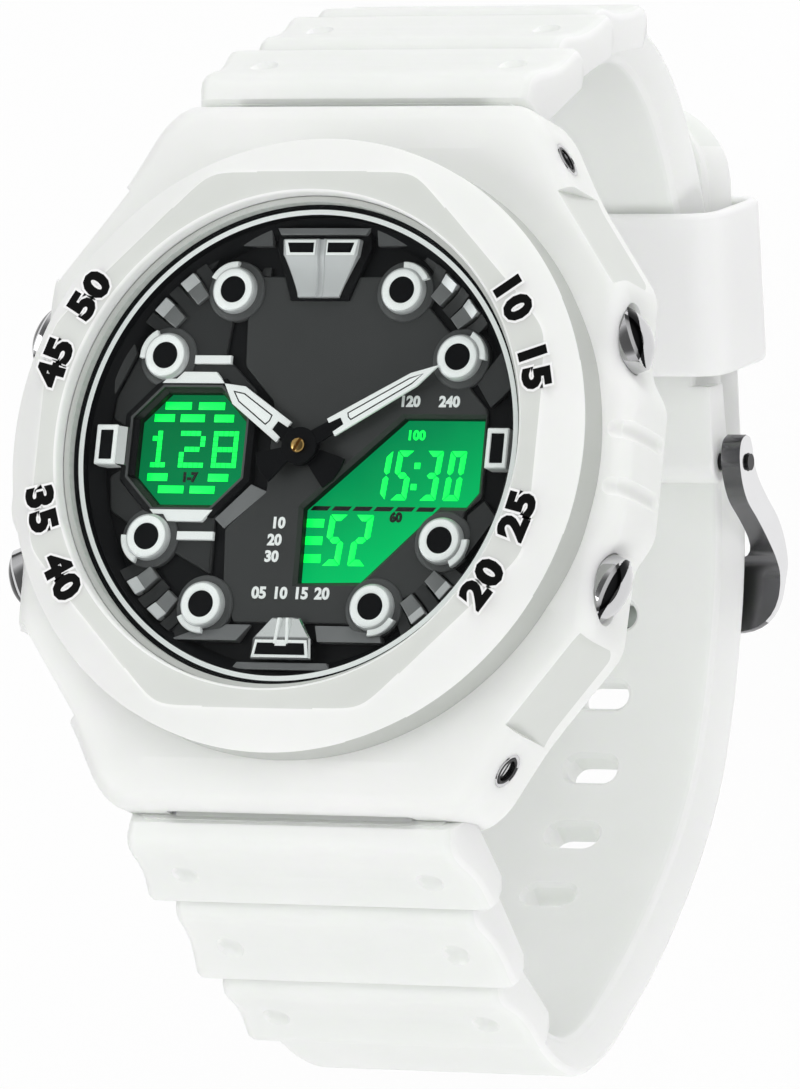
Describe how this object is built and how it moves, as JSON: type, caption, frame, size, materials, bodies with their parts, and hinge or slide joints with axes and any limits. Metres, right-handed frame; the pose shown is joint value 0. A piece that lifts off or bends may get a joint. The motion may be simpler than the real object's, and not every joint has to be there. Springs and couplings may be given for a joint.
{
  "type": "ana digi watch",
  "caption": "Wrist watch with analogue hands and two digital displays in an octagonal translucent case, four pushers, ribbed strap, buckle and keeper",
  "frame": {"origin": "centre of the case back's outer face", "axes": "+Z out of the dial, +Y to 12 o'clock, +X to 3 o'clock"},
  "size_m": [0.0484, 0.0734, 0.062],
  "materials": {
    "bezel_resin": "frosted translucent",
    "case_resin": "frosted translucent",
    "crystal_glass": "clear polished",
    "black_rubber": "matt",
    "flange_black": "matt with one white line",
    "dial_grey": "fine textured, several levels",
    "marker_chrome": "polished",
    "marker_white": "satin",
    "lcd_green": "lit green",
    "light_sheet": "satin",
    "hand_white": "white on black",
    "gear_brass": "turned",
    "module_plastic": "moulded",
    "board_green": "laminate",
    "bright_steel": "bright",
    "coil_copper": "wound wire",
    "buzzer_brass": "plate",
    "strip_rubber": "layered",
    "back_steel": "fine circular brushing",
    "screw_steel": "bright",
    "pusher_chrome": "polished",
    "strap_rubber": "frosted translucent",
    "buckle_steel": "dark polished"
  },
  "bodies": {
    "case": {"bezel": "bezel_resin", "case_middle": "case_resin", "crystal": "crystal_glass", "crystal_gasket": "black_rubber", "case_back_gasket": "black_rubber", "pusher_seal_2h": "black_rubber", "pusher_seal_4h": "black_rubber", "pusher_seal_8h": "black_rubber", "pusher_seal_10h": "black_rubber", "dial_flange": "flange_black", "dial_plate": "dial_grey", "index_pegs": "marker_chrome", "marker_12": "marker_chrome", "marker_6": "marker_chrome", "markers_3_9": "marker_chrome", "corner_blocks": "marker_chrome", "index_bars": "marker_white", "lcd_panel": "lcd_green", "backlight_panel": "light_sheet", "main_plate": "module_plastic", "module_spacer": "module_plastic", "circuit_board": "board_green", "battery": "bright_steel", "battery_clip": "bright_steel", "motor_stator": "bright_steel", "quartz_can": "bright_steel", "contact_springs": "bright_steel", "case_back_screws": "bright_steel", "spring_bar_12": "bright_steel", "spring_bar_6": "bright_steel", "pusher_tubes": "bright_steel", "pusher_spring_2h": "bright_steel", "pusher_spring_4h": "bright_steel", "pusher_spring_8h": "bright_steel", "pusher_spring_10h": "bright_steel", "motor_coil": "coil_copper", "buzzer": "buzzer_brass", "connector_strips": "strip_rubber", "case_back": "back_steel", "bezel_screws": "screw_steel"},
    "minute_hand_set": {"cannon_pinion": "gear_brass", "minute_hand": "hand_white"},
    "hour_hand_set": {"hour_wheel": "gear_brass", "hour_hand": "hand_white"},
    "motion_gear": {"motion_wheel": "gear_brass"},
    "strap_12": {"strap_12": "strap_rubber", "buckle_pin": "buckle_steel"},
    "strap_6": {"strap_6": "strap_rubber"},
    "buckle": {"buckle_frame": "buckle_steel"},
    "prong": {"buckle_prong": "buckle_steel"},
    "keeper": {"keeper": "strap_rubber"},
    "pusher_2h": {"pusher_2h": "pusher_chrome", "pusher_clip_2h": "bright_steel"},
    "pusher_4h": {"pusher_4h": "pusher_chrome", "pusher_clip_4h": "bright_steel"},
    "pusher_8h": {"pusher_8h": "pusher_chrome", "pusher_clip_8h": "bright_steel"},
    "pusher_10h": {"pusher_10h": "pusher_chrome", "pusher_clip_10h": "bright_steel"}
  },
  "joints": [
    {"name": "minute_spin", "type": "hinge", "parent": "case", "child": "minute_hand_set", "pos_m": [0, 0, 0.005], "axis": [0, 0, -1], "continuous": true},
    {"name": "hour_spin", "type": "hinge", "parent": "case", "child": "hour_hand_set", "pos_m": [0, 0, 0.005], "axis": [0, 0, -1], "continuous": true},
    {"name": "motion_spin", "type": "hinge", "parent": "case", "child": "motion_gear", "pos_m": [0.0024, 0, 0.005], "axis": [0, 0, -1], "continuous": true},
    {"name": "pusher_press_2h", "type": "slide", "parent": "case", "child": "pusher_2h", "axis": [-0.9304, -0.3665, 0], "range_m": [0, 0.0008], "stiffness_N_per_m": 1200, "springref_m": -0.0004, "deforming": ["pusher_spring_2h"]},
    {"name": "pusher_press_4h", "type": "slide", "parent": "case", "child": "pusher_4h", "axis": [-0.9304, 0.3665, 0], "range_m": [0, 0.0008], "stiffness_N_per_m": 1200, "springref_m": -0.0004, "deforming": ["pusher_spring_4h"]},
    {"name": "pusher_press_8h", "type": "slide", "parent": "case", "child": "pusher_8h", "axis": [0.9304, 0.3665, 0], "range_m": [0, 0.0008], "stiffness_N_per_m": 1200, "springref_m": -0.0004, "deforming": ["pusher_spring_8h"]},
    {"name": "pusher_press_10h", "type": "slide", "parent": "case", "child": "pusher_10h", "axis": [0.9304, -0.3665, 0], "range_m": [0, 0.0008], "stiffness_N_per_m": 1200, "springref_m": -0.0004, "deforming": ["pusher_spring_10h"]},
    {"name": "strap_12_flex", "type": "hinge", "parent": "case", "child": "strap_12", "pos_m": [0, 0.0255, 0.0005], "axis": [1, 0, 0], "range_deg": [0, 60], "stiffness_Nm_per_rad": 0.5, "deforming": ["strap_12"]},
    {"name": "strap_6_flex", "type": "hinge", "parent": "case", "child": "strap_6", "pos_m": [0, -0.0255, 0.0005], "axis": [-1, 0, 0], "range_deg": [0, 60], "stiffness_Nm_per_rad": 0.5, "deforming": ["strap_6"]},
    {"name": "buckle_turn", "type": "hinge", "parent": "strap_12", "child": "buckle", "pos_m": [0, 0.0099, -0.04], "axis": [1, 0, 0], "range_deg": [0, 60]},
    {"name": "prong_turn", "type": "hinge", "parent": "buckle", "child": "prong", "pos_m": [0, 0.0099, -0.04], "axis": [1, 0, 0], "range_deg": [0, 30]},
    {"name": "keeper_slide", "type": "slide", "parent": "strap_12", "child": "keeper", "axis": [0, 0.9304, 0.3665], "range_m": [-0.0015, 0.004]}
  ],
  "couplings": [
    {"joint": "hour_spin", "follows": "minute_spin", "ratio": 0.083333},
    {"joint": "motion_spin", "follows": "minute_spin", "ratio": -0.33333}
  ]
}
